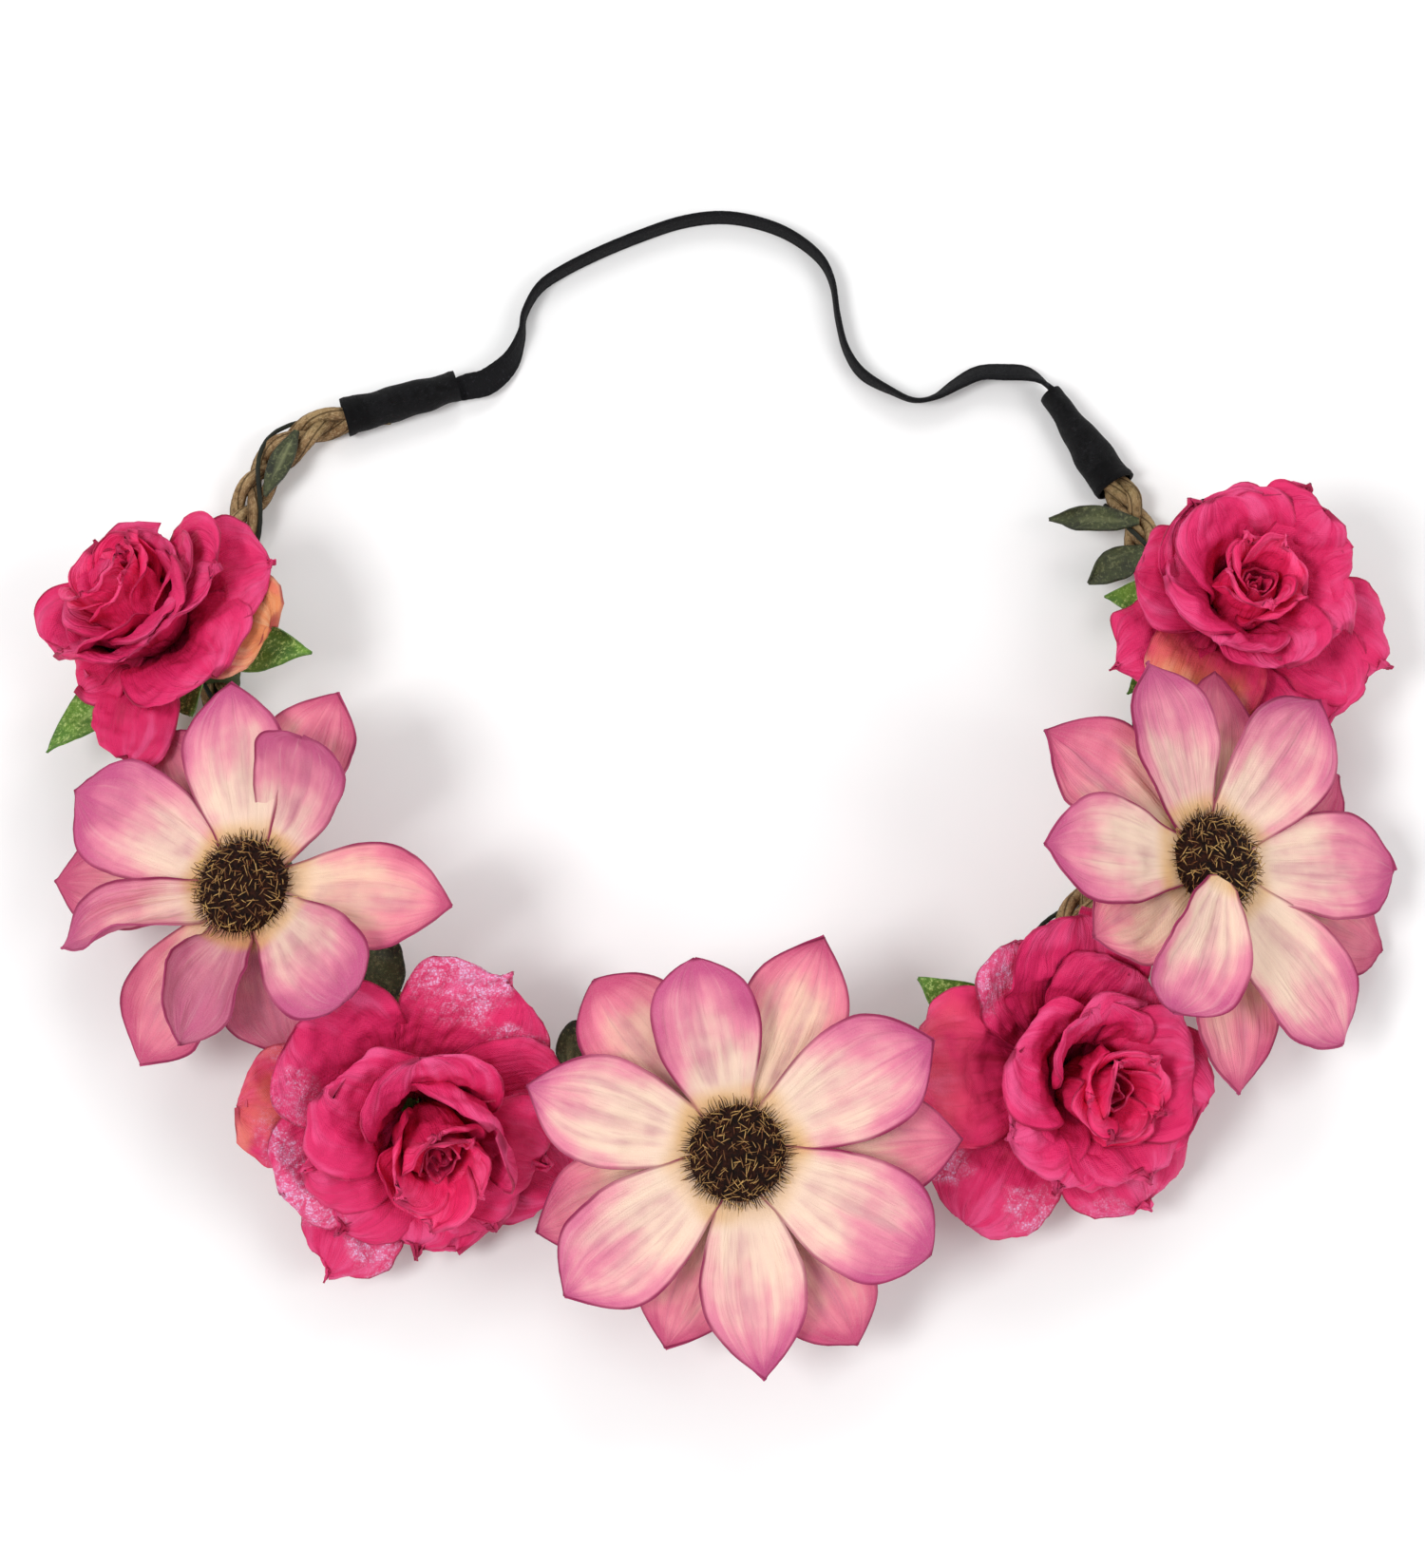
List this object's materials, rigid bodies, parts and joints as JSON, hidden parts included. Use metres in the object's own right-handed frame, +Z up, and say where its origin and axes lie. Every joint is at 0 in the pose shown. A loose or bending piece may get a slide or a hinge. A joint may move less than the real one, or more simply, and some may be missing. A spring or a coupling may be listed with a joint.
{
  "type": "flower crown",
  "caption": "Fabric flower crown: daisies and roses on wire stems, taped to a plaited twine hoop that a flat elastic closes at the back.",
  "frame": {"origin": "centre of the hoop that the head goes through, on the surface the crown lies on", "axes": "+Z up out of the hoop, +Y to the elastic at the back, +X to the wearer's side, along the crown's width"},
  "size_m": [0.2395, 0.2227, 0.0523],
  "materials": {
    "twine": "paper-covered twine, dull",
    "dark_wire": "paper-wrapped floral wire",
    "floral_tape": "crinkled floral tape",
    "sleeve": "black fabric tube",
    "elastic": "woven flat elastic",
    "dark_leaf": "waxed fabric leaf",
    "daisy_back": "dip-dyed stiffened fabric",
    "daisy_front": "dip-dyed stiffened fabric",
    "seed_disc": "bristly flocked dome",
    "calyx": "moulded polythene",
    "stem": "covered wire",
    "sepal": "speckled fabric leaf",
    "rose_outer": "satin petal fabric",
    "rose_inner": "satin petal fabric"
  },
  "bodies": {
    "root": {"twine_strand_1": "twine", "twine_strand_2": "twine", "twine_strand_3": "twine", "garland_wire": "dark_wire", "stem_tapes": "floral_tape", "left_sleeve": "sleeve", "right_sleeve": "sleeve", "elastic_band": "elastic", "left_woven_leaf": "dark_leaf", "low_left_leaf": "dark_leaf", "low_middle_leaf": "dark_leaf", "right_lance_leaf": "dark_leaf", "right_pointed_leaf": "dark_leaf"},
    "left_daisy": {"left_daisy_back_petals": "daisy_back", "left_daisy_front_petals": "daisy_front", "left_daisy_seed_disc": "seed_disc", "left_daisy_calyx": "calyx", "left_daisy_stem": "stem"},
    "centre_daisy": {"centre_daisy_back_petals": "daisy_back", "centre_daisy_front_petals": "daisy_front", "centre_daisy_seed_disc": "seed_disc", "centre_daisy_calyx": "calyx", "centre_daisy_stem": "stem"},
    "right_daisy": {"right_daisy_back_petals": "daisy_back", "right_daisy_front_petals": "daisy_front", "right_daisy_seed_disc": "seed_disc", "right_daisy_calyx": "calyx", "right_daisy_stem": "stem"},
    "left_rose": {"left_rose_sepals": "sepal", "left_rose_outer_petals": "rose_outer", "left_rose_middle_petals": "rose_outer", "left_rose_inner_petals": "rose_inner", "left_rose_bud": "rose_inner", "left_rose_calyx": "calyx", "left_rose_stem": "stem"},
    "low_left_rose": {"low_left_rose_sepals": "sepal", "low_left_rose_outer_petals": "rose_outer", "low_left_rose_middle_petals": "rose_outer", "low_left_rose_inner_petals": "rose_inner", "low_left_rose_bud": "rose_inner", "low_left_rose_calyx": "calyx", "low_left_rose_stem": "stem"},
    "low_right_rose": {"low_right_rose_sepals": "sepal", "low_right_rose_outer_petals": "rose_outer", "low_right_rose_middle_petals": "rose_outer", "low_right_rose_inner_petals": "rose_inner", "low_right_rose_bud": "rose_inner", "low_right_rose_calyx": "calyx", "low_right_rose_stem": "stem"},
    "right_rose": {"right_rose_sepals": "sepal", "right_rose_outer_petals": "rose_outer", "right_rose_middle_petals": "rose_outer", "right_rose_inner_petals": "rose_inner", "right_rose_bud": "rose_inner", "right_rose_calyx": "calyx", "right_rose_stem": "stem"}
  },
  "joints": [
    {"name": "left_rose_tilt", "type": "hinge", "parent": "root", "child": "left_rose", "pos_m": [-0.09085, -0.00556, 0.00766], "axis": [0.061, -0.9981, 0], "range_deg": [-10, 5]},
    {"name": "left_daisy_tilt", "type": "hinge", "parent": "root", "child": "left_daisy", "pos_m": [-0.07715, -0.0501, 0.00766], "axis": [0.5446, -0.8387, 0], "range_deg": [-10, 5]},
    {"name": "low_left_rose_tilt", "type": "hinge", "parent": "root", "child": "low_left_rose", "pos_m": [-0.04474, -0.08071, 0.00766], "axis": [0.8746, -0.4848, 0], "range_deg": [-10, 5]},
    {"name": "centre_daisy_tilt", "type": "hinge", "parent": "root", "child": "centre_daisy", "pos_m": [0.0064, -0.09153, 0.00766], "axis": [0.9976, 0.0698, 0], "range_deg": [-10, 5]},
    {"name": "low_right_rose_tilt", "type": "hinge", "parent": "root", "child": "low_right_rose", "pos_m": [0.0532, -0.07322, 0.00766], "axis": [0.809, 0.5878, 0], "range_deg": [-10, 5]},
    {"name": "right_daisy_tilt", "type": "hinge", "parent": "root", "child": "right_daisy", "pos_m": [0.07945, -0.04048, 0.00766], "axis": [0.454, 0.891, 0], "range_deg": [-10, 5]},
    {"name": "right_rose_tilt", "type": "hinge", "parent": "root", "child": "right_rose", "pos_m": [0.08777, 0.0023, 0.00766], "axis": [-0.0262, 0.9997, 0], "range_deg": [-10, 5]}
  ]
}
